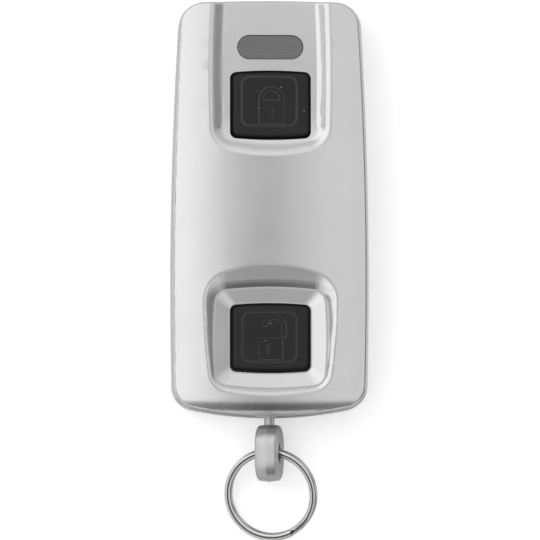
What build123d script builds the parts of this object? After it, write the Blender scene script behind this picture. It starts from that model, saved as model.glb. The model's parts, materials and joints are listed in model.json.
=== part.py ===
from build123d import *
from math import asin, atan2, cos, degrees, radians, sin, sqrt, tan
import os

os.makedirs("parts", exist_ok=True)

# An alarm key fob lying on its back. Millimetres, +Z up through the buttons, +Y towards the
# window, -Y towards the key ring. The origin is the middle of the case, on the back face.

# Case: outline, walls and crown
case_length = 80.0
case_width = 38.0
waist_from_ring_end = 24.0
side_bow_radius = 900.0
top_end_arch = 0.5
ring_end_arch = 2.4
top_corner_radius = 5.0
ring_corner_radius = 4.6
wall = 1.5
rear_height = 8.0
rear_floor = 1.5
back_edge_radius = 1.6
rim_edge = 0.25
front_step = 0.35
crown_cross_radius = 140.0
crown_length_radius = 463.0
end_roll_radius = 3.9
end_roll_reach = 3.25
end_roll_angle = 88.0
face_edge_radius = 0.6
lip_height = 0.8
lip_width = 0.55
lip_gap = 0.05
skin_angle = 42.0
cut_overrun = 1.0
full_turn = 360.0

# Battery stack, from the back inwards
lid_recess = 0.05
lid_plate = 1.1
cell_gap = 0.05
cell_diameter = 20.0
cell_height = 3.2
cell_edge = 0.3
cell_step = 0.9
contact_space = 1.0
board_thickness = 1.0
cell_offset = -2.75

# Switches
switch_size = 6.0
switch_height = 3.0
switch_corner = 0.6
leg_length = 1.0
leg_width = 0.8
switch_cover = 0.25
plunger_rise = 0.8
plunger_diameter = 3.2
plunger_depth = 1.6
plunger_gap = 0.05

# Buttons and their openings
button_width = 15.46
button_length = 13.4
button_corner = 1.3
button_end_arch = 0.4
button_gap = 0.25
button_press = 0.4
button_post = 0.15
button_post_diameter = 5.0
button_flange = 0.8
button_flange_height = 0.6
button_seat_gap = 0.05
button_proud = 0.45
button_edge_radius = 0.7
button_skin = 1.2
button_pocket_edge = 1.6
collar_wall = 1.0
seat_wall = 1.25

# Thumb channel and lock button, placed from the top end
lock_from_top = 20.5
channel_half_width = 11.4
channel_length = 29.7
channel_depth = 1.5
channel_ramp = 8.0
channel_ramp_angle = 40.0
channel_end_depth = 0.7
channel_floor_radius = 380.0
channel_corner = 4.2
channel_end_arch = 1.1
channel_wall_angle = 60.0
channel_foot_radius = 2.0
crest_radius = 2.6

# Dish and unlock button, placed from the ring end
unlock_from_ring_end = 15.0
dish_width = 22.0
dish_length = 19.6
dish_corner = 2.6
dish_side_arch = 0.45
dish_end_arch = 0.75
dish_tilt = 0.7
dish_lip_wall = 1.1
dish_foot_slope = 34.0
dish_crest_slope = 16.0
dish_roll_radius = 5.0
dish_roll_reach = 9.0
dish_ledge = 0.35
dish_crest_radius = 2.0
facet_drop = 0.6
opening_lip = 0.25

# Indicator window
window_from_top = 9.3
window_length = 12.55
window_width = 4.6
window_gap = 0.06
window_recess = 0.15
window_wall = 1.0
window_flange = 0.7
window_flange_height = 0.8
window_edge_radius = 0.2
guide_diameter = 3.4
led_gap = 0.15

# Battery lid: plate, cup, bayonet lugs and coin slot
lid_diameter = 24.4
lid_gap = 0.08
lid_edge = 0.25
cup_wall = 0.6
cup_gap = 0.15
cup_rise = 2.3
gasket_height = 0.45
gasket_width = 0.9
bay_ledge = 1.0
bay_ring_wall = 1.3
lug_count = 3
lug_reach = 1.0
lug_height = 0.8
lug_gap = 0.05
lug_angle = 24.0
lug_play_angle = 0.5
notch_angle = 30.0
lid_turn = 35.0
slot_length = 15.0
slot_width = 1.8
slot_depth = 0.55

# Case screws
screw_side_inset = 5.8
screw_top_inset = 7.0
screw_ring_inset = 9.5
screw_diameter = 2.0
screw_gap = 0.1
screw_length = 8.4
head_diameter = 3.8
head_height = 1.3
head_recess = 0.6
head_gap = 0.15
cross_width = 0.5
cross_length = 2.2
cross_depth = 0.6
boss_diameter = 5.0

# Circuit board and what stands on it
board_gap = 0.35
board_ring_clearance = 6.8
board_hole_gap = 0.3
chip_height = 0.9
chip_edge = 0.12
chip_column = 6.0
controller_size = 6.0
radio_size = 4.0
crystal_length = 3.2
crystal_width = 2.5
crystal_height = 0.8
small_chip_length = 1.6
small_chip_width = 0.8
small_chip_height = 0.45
small_chip_pitch = 2.2
small_chip_count = 3
small_chip_edge = 0.06
led_length = 3.2
led_width = 1.8
led_height = 1.2
antenna_wire = 0.8
antenna_length = 26.0
antenna_height = 2.4
antenna_side_inset = 4.6
clip_thickness = 0.3
clip_overlap = 0.8
clip_span = 220.0
clip_place = 90.0
clip_tab_length = 2.0
clip_tab_angle = 16.0
contact_thickness = 0.2
contact_width = 5.0
contact_foot = 3.0
contact_reach = 4.0

# Swivel: stem, eye, clip and its block in the rear cover
stem_diameter = 2.3
stem_gap = 0.05
stem_show = 1.25
end_wall = 2.8
clip_pocket = 0.8
inner_rib = 1.4
stem_clip_thickness = 0.6
stem_clip_diameter = 4.6
stem_clip_mouth = 1.3
stem_groove_diameter = 1.5
groove_gap = 0.03
block_half_width = 3.6
eye_length = 11.0
eye_thickness = 5.4
eye_height = 8.6
eye_draft = 5.0
eye_outline_radius = 4.1
eye_edge_radius = 0.8
eye_hole_diameter = 3.7
eye_hole_edge = 0.35
mould_line_width = 0.2
mould_line_rise = 0.06
swivel_rest_angle = 12.0

# Split ring
ring_diameter = 18.0
ring_band = 1.4
coil_height = 0.8
coil_gap = 0.1
coil_edge = 0.3
ring_offset = 0.2
ring_droop = 12.5
crossover_angle = 24.0
coil_end_gap = 3.0
crossover_place = 312.0


# Heights worked out from the stack
cell_bottom = lid_recess + lid_plate + cell_gap
cell_top = cell_bottom + cell_height
board_bottom = cell_top + contact_space
board_top = board_bottom + board_thickness
plunger_top = board_top + switch_height + plunger_rise
flange_bottom = plunger_top + button_post
button_seat = flange_bottom + button_flange_height + button_seat_gap

# Places along the case
top_end = case_length / 2
ring_end = -case_length / 2
front_ring_end = ring_end + front_step
roll_start = front_ring_end + end_roll_reach
lock_y = top_end - lock_from_top
unlock_y = ring_end + unlock_from_ring_end
window_y = top_end - window_from_top
channel_end = top_end - channel_length


def bow(radius, distance):
    """How far an arc of this radius has fallen away at a distance from its top."""
    return radius - sqrt(radius**2 - distance**2)


# The face is as high as the seat of the lock button, its wall and the channel ask
lock_opening_top = lock_y + button_length / 2
face_top = button_seat + seat_wall + channel_depth + bow(crown_length_radius, lock_opening_top)
swivel_height = rear_height - stem_clip_diameter / 2 - rim_edge


# The crown is an arc along the case, whose middle lies far below it
crown_axis_height = face_top - crown_length_radius
crown_axis = Axis((0, 0, crown_axis_height), (-1, 0, 0))
room_half_width = case_width / 2 + cut_overrun


def crown_angle(y):
    """The slope of the crown at a place along the case."""
    return asin(y / crown_length_radius)


def station(y, sink):
    """The plane across the case, square to the crown at this place and sunk below the face."""
    angle = crown_angle(y)
    radius = crown_length_radius - sink
    return Plane(
        origin=(0, radius * sin(angle), crown_axis_height + radius * cos(angle)),
        x_dir=(1, 0, 0),
        z_dir=(0, -cos(angle), sin(angle)),
    )


def face_height(y):
    """Height of the crown on the middle line, up to the roll at the ring end."""
    return crown_axis_height + sqrt(crown_length_radius**2 - y**2)


def arch(side_lift, reach):
    """The room above an arc across the case, whose sides lie lifted or dropped from its middle."""
    with BuildSketch() as profile:
        with BuildLine():
            ThreePointArc((-room_half_width, side_lift), (0, 0), (room_half_width, side_lift))
            Polyline(
                (room_half_width, side_lift),
                (room_half_width, reach),
                (-room_half_width, reach),
                (-room_half_width, side_lift),
            )
        make_face()
    return profile.sketch


def turned(profile, plane, axis, angle):
    """A profile on a plane, turned about an axis."""
    with BuildPart() as body:
        with BuildSketch(plane):
            add(profile)
        revolve(axis=axis, revolution_arc=angle)
    return body.part


def case_outline(inset):
    """Bowed sides, gently arched ends and round corners, drawn this far inside the case edge."""
    waist_y = ring_end + waist_from_ring_end
    half_width = case_width / 2 - inset
    top_half = half_width - bow(side_bow_radius, top_end - waist_y)
    ring_half = half_width - bow(side_bow_radius, waist_y - ring_end)
    top_y = top_end - inset
    ring_y = ring_end + inset
    top_side_y = top_y - top_end_arch
    ring_side_y = ring_y + ring_end_arch
    with BuildSketch() as outline:
        with BuildLine():
            ThreePointArc((-top_half, top_side_y), (0, top_y), (top_half, top_side_y))
            ThreePointArc((top_half, top_side_y), (half_width, waist_y), (ring_half, ring_side_y))
            ThreePointArc((ring_half, ring_side_y), (0, ring_y), (-ring_half, ring_side_y))
            ThreePointArc((-ring_half, ring_side_y), (-half_width, waist_y), (-top_half, top_side_y))
        make_face()
        fillet(outline.vertices().group_by(Axis.Y)[-1], top_corner_radius - inset)
        fillet(outline.vertices().group_by(Axis.Y)[0], ring_corner_radius - inset)
    return outline.sketch


def arched_rectangle(width, length, corner, side_arch, end_arch):
    """A rounded rectangle whose sides and ends swell outwards to the given width and length."""
    half_width = width / 2
    half_length = length / 2
    side_x = half_width - side_arch
    end_y = half_length - end_arch
    with BuildSketch() as shape:
        with BuildLine():
            ThreePointArc((-side_x, end_y), (0, half_length), (side_x, end_y))
            if side_arch:
                ThreePointArc((side_x, end_y), (half_width, 0), (side_x, -end_y))
                ThreePointArc((-side_x, -end_y), (-half_width, 0), (-side_x, end_y))
            else:
                Line((side_x, end_y), (side_x, -end_y))
                Line((-side_x, -end_y), (-side_x, end_y))
            ThreePointArc((side_x, -end_y), (0, -half_length), (-side_x, -end_y))
        make_face()
        fillet(shape.vertices(), corner)
    return shape.sketch


def button_outline(grow):
    """The outline of a button opening, grown on all sides."""
    return arched_rectangle(
        button_width + 2 * grow, button_length + 2 * grow, button_corner + grow, 0, button_end_arch
    )


def dish_outline(grow):
    """The outline of the dish, grown on all sides."""
    return arched_rectangle(
        dish_width + 2 * grow, dish_length + 2 * grow, dish_corner + grow, dish_side_arch, dish_end_arch
    )


def crown_room(sink):
    """All that lies above the crown and its roll at the ring end, sunk by the wall for the hollow."""
    roll_plane = station(roll_start, sink)
    roll_axis = Axis(station(roll_start, end_roll_radius).origin, (1, 0, 0))
    profile = arch(-bow(crown_cross_radius - sink, room_half_width), face_top - rear_height)
    end_angle = crown_angle(top_end + 2 * cut_overrun) - crown_angle(roll_start)
    along_case = turned(profile, roll_plane, crown_axis, degrees(end_angle))
    round_end = turned(profile, roll_plane, roll_axis, end_roll_angle)
    with BuildPart() as room:
        add(along_case)
        add(round_end)
    return room.part


def channel_outline(grow):
    """The thumb channel from its arched end to beyond the top of the case, grown on all sides."""
    side_x = channel_half_width + grow
    corner_y = channel_end_arch - grow
    far_y = channel_length + cut_overrun
    with BuildSketch() as outline:
        with BuildLine():
            ThreePointArc((-side_x, corner_y), (0, -grow), (side_x, corner_y))
            Polyline((side_x, corner_y), (side_x, far_y), (-side_x, far_y), (-side_x, corner_y))
        make_face()
        fillet(outline.vertices().group_by(Axis.Y)[0], channel_corner + grow)
    return outline.sketch


def flared_room(low_outline, high_outline, floor_plane, height):
    """A recess with leaning walls, from an outline on the floor plane to one above it."""
    with BuildPart() as room:
        with BuildSketch(floor_plane):
            add(low_outline)
        with BuildSketch(floor_plane.offset(height)):
            add(high_outline)
        loft()
    return room.part


def lean(angle, height):
    """How far a wall at this angle from upright leans over on a height."""
    return height * tan(radians(angle))


def channel_room(grow, sink, wall_angle):
    """The thumb channel. Grown and sunk by the wall, it is what the hollow leaves round it."""
    tilt = atan2(face_height(channel_end) - face_height(top_end), channel_length)
    depth = channel_depth + sink + bow(crown_cross_radius, channel_half_width)
    floor_plane = Plane(
        origin=(0, channel_end, face_height(channel_end) - depth),
        x_dir=(1, 0, 0),
        z_dir=(0, sin(tilt), cos(tilt)),
    )
    walls = flared_room(
        channel_outline(grow - lean(wall_angle, depth)),
        channel_outline(grow + lean(wall_angle, cut_overrun)),
        floor_plane,
        depth + cut_overrun,
    )
    ramp_top = channel_end + channel_ramp
    ramp_rise = channel_depth - channel_end_depth
    ramp_radius = (channel_ramp**2 + ramp_rise**2) / ramp_rise / 2
    ramp_plane = station(ramp_top, channel_depth + sink)
    ramp_axis = Axis(station(ramp_top, channel_depth - ramp_radius).origin, (-1, 0, 0))
    profile = arch(bow(channel_floor_radius, room_half_width), channel_depth + sink + 2 * cut_overrun)
    floor_angle = crown_angle(top_end + 2 * cut_overrun) - crown_angle(ramp_top)
    above_floor = turned(profile, ramp_plane, crown_axis, degrees(floor_angle))
    above_ramp = turned(profile, ramp_plane, ramp_axis, channel_ramp_angle)
    with BuildPart() as room:
        add(above_floor)
        add(above_ramp)
        add(walls, mode=Mode.INTERSECT)
    return room.part


def dish_plane(rise):
    """The tilted plane of the lip round the unlock button, moved up by a rise."""
    return Plane(
        origin=(0, unlock_y, button_seat + dish_lip_wall),
        x_dir=(1, 0, 0),
        z_dir=(0, -sin(radians(dish_tilt)), cos(radians(dish_tilt))),
    ).offset(rise)


def dish_roll():
    """The shoulder of the dish in profile: an arc up from its foot, then a slope beyond the crown."""
    foot = radians(dish_foot_slope)
    crest = radians(dish_crest_slope)
    middle = (foot + crest) / 2

    def along(slope):
        reach = dish_roll_radius * (sin(foot) - sin(slope))
        return (reach, dish_roll_radius * (cos(slope) - cos(foot)))

    roll_end = Vector(*along(crest))
    far = roll_end + Vector(dish_roll_reach, dish_roll_reach * tan(crest))
    top = far.Y + cut_overrun
    with BuildSketch() as profile:
        with BuildLine():
            ThreePointArc((0, 0), along(middle), roll_end)
            Polyline(roll_end, far, (far.X, top), (0, top), (0, 0))
        make_face()
    return profile.sketch


def dish_room():
    """The whole dish: its rolled shoulder, a narrow ledge and four mitred facets down to the lip."""
    foot_plane = dish_plane(facet_drop)
    foot_outline = dish_outline(0)
    foot_line = (foot_plane * foot_outline).face().outer_wire()
    start = foot_line @ 0
    up = foot_plane.z_dir
    outward = up.cross(foot_line % 0)
    outward = outward if outward.dot(start - foot_plane.origin) > 0 else -outward
    profile = dish_roll()
    facets = flared_room(
        button_outline(opening_lip), dish_outline(-dish_ledge), dish_plane(0), facet_drop
    )
    with BuildPart() as room:
        with BuildSketch(foot_plane):
            add(foot_outline)
        extrude(amount=profile.bounding_box().max.Y)
        with BuildSketch(Plane(origin=start, x_dir=outward, z_dir=outward.cross(up))):
            add(profile)
        sweep(path=foot_line)
        add(facets)
    return room.part


# Heights that the window and the buttons take from the recesses
def channel_floor(y):
    """Height of the channel floor on the middle line, beyond its ramp."""
    return crown_axis_height + sqrt((crown_length_radius - channel_depth) ** 2 - y**2)


def ramp_floor(y):
    """Height of the channel floor on the middle line, on its ramp."""
    ramp_top = channel_end + channel_ramp
    rise_share = (ramp_top - y) / channel_ramp
    return channel_floor(y) + (channel_depth - channel_end_depth) * rise_share**2


window_seat = channel_floor(window_y) - window_wall
screw_x = case_width / 2 - screw_side_inset
screw_rows = (top_end - screw_top_inset, ring_end + screw_ring_inset)
head_seat = head_recess + head_height


def screw_circles(radius):
    """A circle at each of the four case screws, the right pair mirrored from the left one."""
    with BuildSketch() as circles:
        with Locations([(-screw_x, y) for y in screw_rows]):
            Circle(radius)
        mirror(about=Plane.YZ)
    return circles.sketch


boss_circles = screw_circles(boss_diameter / 2)
shank_holes = screw_circles(screw_diameter / 2 + screw_gap)
head_holes = screw_circles(head_diameter / 2 + head_gap)
board_holes = screw_circles(screw_diameter / 2 + board_hole_gap)
head_circles = screw_circles(head_diameter / 2)
shank_circles = screw_circles(screw_diameter / 2)

# Front cover
outer_outline = case_outline(front_step)
inner_outline = case_outline(front_step + wall)
lip_outline = case_outline(wall - lip_width - lip_gap)
crown = crown_room(0)
inner_crown = crown_room(wall)
channel = channel_room(0, 0, channel_wall_angle)
channel_skin = channel_room(wall, wall, skin_angle)
dish = dish_room()
skin_height = face_top - button_seat + cut_overrun
dish_skin = flared_room(
    dish_outline(wall),
    dish_outline(wall + lean(skin_angle, skin_height)),
    dish_plane(-dish_lip_wall),
    skin_height,
)
opening = button_outline(0)
collar = button_outline(collar_wall)
flange_space = button_outline(button_flange + button_gap)
window_opening_size = (window_length + 2 * window_gap, window_width + 2 * window_gap)
window_flange_size = (
    window_length + 2 * window_flange + 2 * window_gap,
    window_width + 2 * window_flange + 2 * window_gap,
)

# The hollow leaves the collars round the openings and the posts over the bosses solid
with BuildPart() as hollow:
    with BuildSketch(Plane.XY.offset(rear_height)):
        add(inner_outline)
    extrude(amount=face_top - rear_height)
    add(inner_crown, mode=Mode.SUBTRACT)
    add(channel_skin, mode=Mode.SUBTRACT)
    add(dish_skin, mode=Mode.SUBTRACT)
    with BuildSketch(Plane.XY.offset(rear_height)):
        add(lip_outline)
    extrude(amount=lip_height + lip_gap)
    with BuildSketch(Plane.XY.offset(button_seat)):
        with Locations((0, lock_y), (0, unlock_y)):
            add(collar)
    extrude(amount=face_top - button_seat, mode=Mode.SUBTRACT)
    with BuildSketch(Plane.XY.offset(rear_height)):
        with Locations((0, (screw_rows[0] + screw_rows[1]) / 2)):
            with GridLocations(2 * screw_x, screw_rows[0] - screw_rows[1], 2, 2):
                Rectangle(boss_diameter, boss_diameter)
    extrude(amount=face_top - rear_height, mode=Mode.SUBTRACT)

with BuildPart() as exterior:
    with BuildSketch(Plane.XY.offset(rear_height)):
        add(outer_outline)
    extrude(amount=face_top - rear_height)
    add(crown, mode=Mode.SUBTRACT)
    add(channel, mode=Mode.SUBTRACT)
    # The walls of the channel blend into its floor and its ramp, and roll over into the face
    floor_faces = exterior.faces().filter_by(
        lambda face: round(face.center().X) == 0
        and channel_end + channel_ramp / 2 < face.center().Y < top_end - wall
    )
    channel_foot = floor_faces.edges().filter_by(
        lambda edge: round(edge.center().X) != 0 or edge.center().Y < channel_end + channel_ramp / 2
    )
    fillet(channel_foot, channel_foot_radius)
    crown_face = exterior.faces().filter_by(GeomType.TORUS).sort_by(SortBy.AREA)[-1]
    channel_crest = crown_face.outer_wire().edges().filter_by(
        lambda edge: abs(edge.center().X) < channel_half_width + crest_radius
        and channel_end - crest_radius < edge.center().Y < top_end - crest_radius
    )
    fillet(channel_crest, crest_radius)
    # The face turns down into the side walls all round
    crown_face = exterior.faces().filter_by(GeomType.TORUS).sort_by(SortBy.AREA)[-1]
    roll_face = exterior.faces().filter_by(
        lambda face: face.geom_type == GeomType.REVOLUTION and face.center().Y < roll_start
    ).sort_by(SortBy.AREA)[-1]
    side_edges = exterior.faces().filter_by(GeomType.CYLINDER).edges()
    fillet((crown_face.edges() + roll_face.edges()) & side_edges, face_edge_radius)
    add(dish, mode=Mode.SUBTRACT)
    crown_face = exterior.faces().filter_by(GeomType.TORUS).sort_by(SortBy.AREA)[-1]
    dish_crest = crown_face.inner_wires().sort_by(SortBy.LENGTH)[-1].edges()
    fillet(dish_crest, dish_crest_radius)

with BuildPart() as front_cover:
    add(exterior.part)
    add(hollow.part, mode=Mode.SUBTRACT)
    with BuildSketch(Plane.XY.offset(board_top)):
        add(boss_circles)
    extrude(amount=rear_height - board_top)
    # Openings, the space of the flanges under them, and the screw holes
    with BuildSketch(Plane.XY.offset(rear_height)):
        with Locations((0, lock_y), (0, unlock_y)):
            add(flange_space)
    extrude(amount=button_seat - rear_height, mode=Mode.SUBTRACT)
    with BuildSketch(Plane.XY.offset(rear_height)):
        with Locations((0, lock_y), (0, unlock_y)):
            add(opening)
        with Locations((0, window_y)):
            SlotOverall(*window_opening_size)
    extrude(amount=face_top - rear_height, mode=Mode.SUBTRACT)
    with BuildSketch(Plane.XY.offset(rear_height)):
        with Locations((0, window_y)):
            SlotOverall(*window_flange_size)
    extrude(amount=window_seat - rear_height, mode=Mode.SUBTRACT)
    with BuildSketch(Plane.XY.offset(board_top)):
        add(shank_holes)
    extrude(amount=head_seat + screw_length + screw_gap - board_top, mode=Mode.SUBTRACT)
front_cover.part.label = "front_cover"

# Rear cover
rear_outline = case_outline(0)
rear_inner = case_outline(wall)
tongue_outline = case_outline(wall - lip_width)
lid_depth = lid_recess + lid_plate + gasket_height
bay_top = lid_depth + bay_ledge
cup_radius = cell_diameter / 2 + cup_gap + cup_wall
bay_radius = lid_diameter / 2 + lid_gap
ring_radius = bay_radius + bay_ring_wall
lug_pitch = full_turn / lug_count
stop_start = lug_angle / 2 + lug_play_angle
stop_span = lug_pitch - lid_turn - 2 * stop_start
bore_plane = Plane(origin=(0, ring_end - cut_overrun, swivel_height), x_dir=(1, 0, 0), z_dir=(0, 1, 0))
pocket_start = ring_end + end_wall
pocket_end = pocket_start + clip_pocket
block_end = pocket_end + inner_rib
clip_radius = stem_clip_diameter / 2


def ring_piece(inner_radius, outer_radius, start, span):
    """A piece of a flat ring between two angles."""
    with BuildSketch() as piece:
        with BuildLine():
            inner = CenterArc((0, 0), inner_radius, start, span)
            outer = CenterArc((0, 0), outer_radius, start, span)
            Line(inner @ 0, outer @ 0)
            Line(inner @ 1, outer @ 1)
        make_face()
    return piece.sketch


def ring_pieces(inner_radius, outer_radius, start, span):
    """The same piece of ring once for each bayonet lug."""
    piece = ring_piece(inner_radius, outer_radius, start, span)
    with BuildSketch() as pieces:
        with PolarLocations(0, lug_count):
            add(piece)
    return pieces.sketch


notches = ring_pieces(
    cup_radius - lid_gap, cup_radius + lug_reach + lid_gap, -lid_turn - notch_angle / 2, notch_angle
)
stops = ring_pieces(cup_radius + lid_gap, ring_radius, stop_start, stop_span)

with BuildPart() as rear_cover:
    with BuildSketch():
        add(rear_outline)
    extrude(amount=rear_height)
    fillet(rear_cover.faces().sort_by(Axis.Z)[0].edges(), back_edge_radius)
    chamfer(rear_cover.faces().sort_by(Axis.Z)[-1].edges(), rim_edge)
    with BuildSketch(Plane.XY.offset(rear_floor)):
        add(rear_inner)
    extrude(amount=rear_height - rear_floor, mode=Mode.SUBTRACT)
    # The lip that locates the front cover
    with BuildSketch(Plane.XY.offset(rear_height - lip_height)):
        add(tongue_outline)
        add(rear_inner, mode=Mode.SUBTRACT)
    extrude(amount=2 * lip_height)
    # Battery bay: ring, ledge, notches and stops for the bayonet lugs
    with BuildSketch(Plane.XY):
        with Locations((0, cell_offset)):
            Circle(ring_radius)
    extrude(amount=bay_top)
    with BuildSketch(Plane.XY.offset(bay_top)):
        with Locations((0, cell_offset)):
            add(stops)
    extrude(amount=lug_gap + lug_height)
    with BuildSketch(Plane.XY):
        with Locations((0, cell_offset)):
            Circle(bay_radius)
    extrude(amount=lid_depth, mode=Mode.SUBTRACT)
    with BuildSketch(Plane.XY):
        with Locations((0, cell_offset)):
            Circle(cup_radius + lid_gap)
            add(notches)
    extrude(amount=bay_top, mode=Mode.SUBTRACT)
    # Screw bosses
    with BuildSketch(Plane.XY):
        add(boss_circles)
    extrude(amount=board_bottom)
    with BuildSketch(Plane.XY):
        add(shank_holes)
    extrude(amount=board_bottom, mode=Mode.SUBTRACT)
    with BuildSketch(Plane.XY):
        add(head_holes)
    extrude(amount=head_seat, mode=Mode.SUBTRACT)
    # Swivel block with its bore and the pocket of the clip
    with BuildSketch(Plane.XY.offset(rear_floor)):
        with Locations((0, (pocket_start + block_end) / 2)):
            Rectangle(2 * block_half_width, block_end - pocket_start + 2 * wall)
        with Locations((0, block_end + wall)):
            Rectangle(2 * block_half_width, 2 * wall, mode=Mode.SUBTRACT)
    extrude(amount=rear_height - rear_floor)
    with BuildSketch(Plane.XY.offset(swivel_height - clip_radius - rim_edge)):
        with Locations((0, (pocket_start + pocket_end) / 2)):
            Rectangle(2 * clip_radius + 2 * rim_edge, clip_pocket)
    extrude(amount=rear_height, mode=Mode.SUBTRACT)
    with BuildSketch(bore_plane):
        Circle(stem_diameter / 2 + stem_gap)
    extrude(amount=block_end - ring_end + 2 * cut_overrun, mode=Mode.SUBTRACT)
rear_cover.part.label = "rear_cover"

# Battery lid and its gasket
lugs = ring_pieces(cup_radius - cup_wall / 2, cup_radius + lug_reach, -lug_angle / 2, lug_angle)
lid_inner = lid_recess + lid_plate

with BuildPart() as battery_lid:
    with BuildSketch(Plane.XY.offset(lid_recess)):
        with Locations((0, cell_offset)):
            Circle(lid_diameter / 2)
    extrude(amount=lid_plate)
    chamfer(battery_lid.edges().group_by(Axis.Z)[0], lid_edge)
    with BuildSketch(Plane.XY.offset(lid_inner)):
        with Locations((0, cell_offset)):
            Circle(cup_radius)
            Circle(cup_radius - cup_wall, mode=Mode.SUBTRACT)
    extrude(amount=cup_rise)
    with BuildSketch(Plane.XY.offset(bay_top + lug_gap)):
        with Locations((0, cell_offset)):
            add(lugs)
    extrude(amount=lug_height - lug_gap)
    with BuildSketch(Plane.XY.offset(lid_recess)):
        with Locations((0, cell_offset)):
            SlotOverall(slot_length, slot_width)
    extrude(amount=slot_depth, mode=Mode.SUBTRACT)
battery_lid.part.label = "battery_lid"

with BuildPart() as lid_gasket:
    with BuildSketch(Plane.XY.offset(lid_inner)):
        with Locations((0, cell_offset)):
            Circle(cup_radius + lid_gap + gasket_width)
            Circle(cup_radius + lid_gap, mode=Mode.SUBTRACT)
    extrude(amount=gasket_height)
lid_gasket.part.label = "lid_gasket"

# Coin cell and its two contacts
with BuildPart() as coin_cell:
    with BuildSketch(Plane.XY.offset(cell_bottom)):
        with Locations((0, cell_offset)):
            Circle(cell_diameter / 2)
    extrude(amount=cell_height - cell_edge)
    chamfer(coin_cell.edges(), cell_edge)
    with BuildSketch(Plane.XY.offset(cell_bottom + cell_height / 2)):
        with Locations((0, cell_offset)):
            Circle(cell_diameter / 2 - cell_step)
    extrude(amount=cell_height / 2)
coin_cell.part.label = "coin_cell"

clip_inner = cell_diameter / 2 + cell_gap
clip_band = ring_piece(clip_inner, clip_inner + clip_thickness, clip_place - clip_span / 2, clip_span)
tab_radius = clip_inner + clip_tab_length
tab_step = (clip_span - clip_tab_angle) / 2
clip_tabs = [
    ring_piece(clip_inner, tab_radius, clip_place + side * tab_step - clip_tab_angle / 2, clip_tab_angle)
    for side in (-1, 0, 1)
]
with BuildPart() as cell_clip:
    with BuildSketch(Plane.XY.offset(cell_top - clip_overlap)):
        with Locations((0, cell_offset)):
            add(clip_band)
    extrude(amount=board_bottom - cell_top + clip_overlap)
    with BuildSketch(Plane.XY.offset(board_bottom)):
        with Locations((0, cell_offset)):
            add(clip_tabs)
    extrude(amount=-clip_thickness)
cell_clip.part.label = "cell_clip"

contact_low = cell_top + cell_gap + contact_thickness / 2
contact_high = board_bottom - contact_thickness / 2
with BuildPart() as cell_contact:
    with BuildSketch(Plane.YZ) as contact_side:
        with BuildLine():
            Polyline(
                (cell_offset - contact_foot / 2, contact_low),
                (cell_offset, contact_low),
                (cell_offset + contact_reach, contact_high),
                (cell_offset + contact_reach + contact_foot, contact_high),
            )
        trace(line_width=contact_thickness)
    extrude(amount=contact_width / 2, both=True)
cell_contact.part.label = "cell_contact"

# Circuit board
board_outline = case_outline(wall + board_gap)
board_end = ring_end + board_ring_clearance

with BuildPart() as circuit_board:
    with BuildSketch(Plane.XY.offset(board_bottom)):
        add(board_outline)
        with Locations((0, (top_end + board_end) / 2)):
            Rectangle(case_width, top_end - board_end, mode=Mode.INTERSECT)
        add(board_holes, mode=Mode.SUBTRACT)
    extrude(amount=board_thickness)
circuit_board.part.label = "circuit_board"


def board_block(spots, length, width, height, edge_radius):
    """Plain rectangular parts that stand on the board, with softened top edges."""
    with BuildPart() as block:
        with BuildSketch(Plane.XY.offset(board_top)):
            with Locations(spots):
                Rectangle(length, width)
        extrude(amount=height)
        fillet(block.edges().group_by(Axis.Z)[-1], edge_radius)
    return block.part


def chip_row(middle):
    """The places of a row of small chips beside the controller."""
    first = middle - small_chip_pitch * (small_chip_count - 1) / 2
    return [(first + small_chip_pitch * step, controller_size) for step in range(small_chip_count)]


small_chip = (small_chip_width, small_chip_length, small_chip_height, small_chip_edge)
crystal_place = (-chip_column, -radio_size - small_chip_pitch)
board_parts = {
    "controller_chip": board_block(
        [(chip_column, 0)], controller_size, controller_size, chip_height, chip_edge
    ),
    "radio_chip": board_block([(-chip_column, 0)], radio_size, radio_size, chip_height, chip_edge),
    "crystal": board_block([crystal_place], crystal_length, crystal_width, crystal_height, chip_edge),
    "chip_resistors": board_block(chip_row(chip_column), *small_chip),
    "chip_capacitors": board_block(chip_row(-chip_column), *small_chip),
    "status_led": board_block([(0, window_y)], led_length, led_width, led_height, chip_edge),
}

antenna_x = antenna_side_inset - case_width / 2
with BuildPart() as antenna:
    with BuildLine(Plane.YZ.offset(antenna_x)) as antenna_path:
        Polyline(
            (-antenna_length / 2, board_top),
            (-antenna_length / 2, board_top + antenna_height),
            (antenna_length / 2, board_top + antenna_height),
            (antenna_length / 2, board_top),
        )
    with BuildSketch(Plane(origin=antenna_path.line @ 0, z_dir=antenna_path.line % 0)):
        Circle(antenna_wire / 2)
    sweep(transition=Transition.RIGHT)
board_parts["antenna"] = antenna.part


# Switches: body with legs, metal cover and plunger
def switch_body(y):
    """The body of a switch, with the bore of its plunger and four legs."""
    bore_bottom = board_top + switch_height - plunger_depth - button_press - plunger_gap
    with BuildPart() as body:
        with BuildSketch(Plane.XY.offset(board_top)):
            with Locations((0, y)):
                RectangleRounded(switch_size, switch_size, switch_corner)
        extrude(amount=switch_height - switch_cover)
        with BuildSketch(Plane.XY.offset(board_top)):
            with Locations((0, y)):
                with GridLocations(switch_size, switch_size - 2 * leg_width, 2, 2):
                    Rectangle(2 * leg_length, leg_width)
        extrude(amount=switch_cover)
        with BuildSketch(Plane.XY.offset(bore_bottom)):
            with Locations((0, y)):
                Circle(plunger_diameter / 2 + plunger_gap)
        extrude(amount=switch_height, mode=Mode.SUBTRACT)
    return body.part


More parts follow.
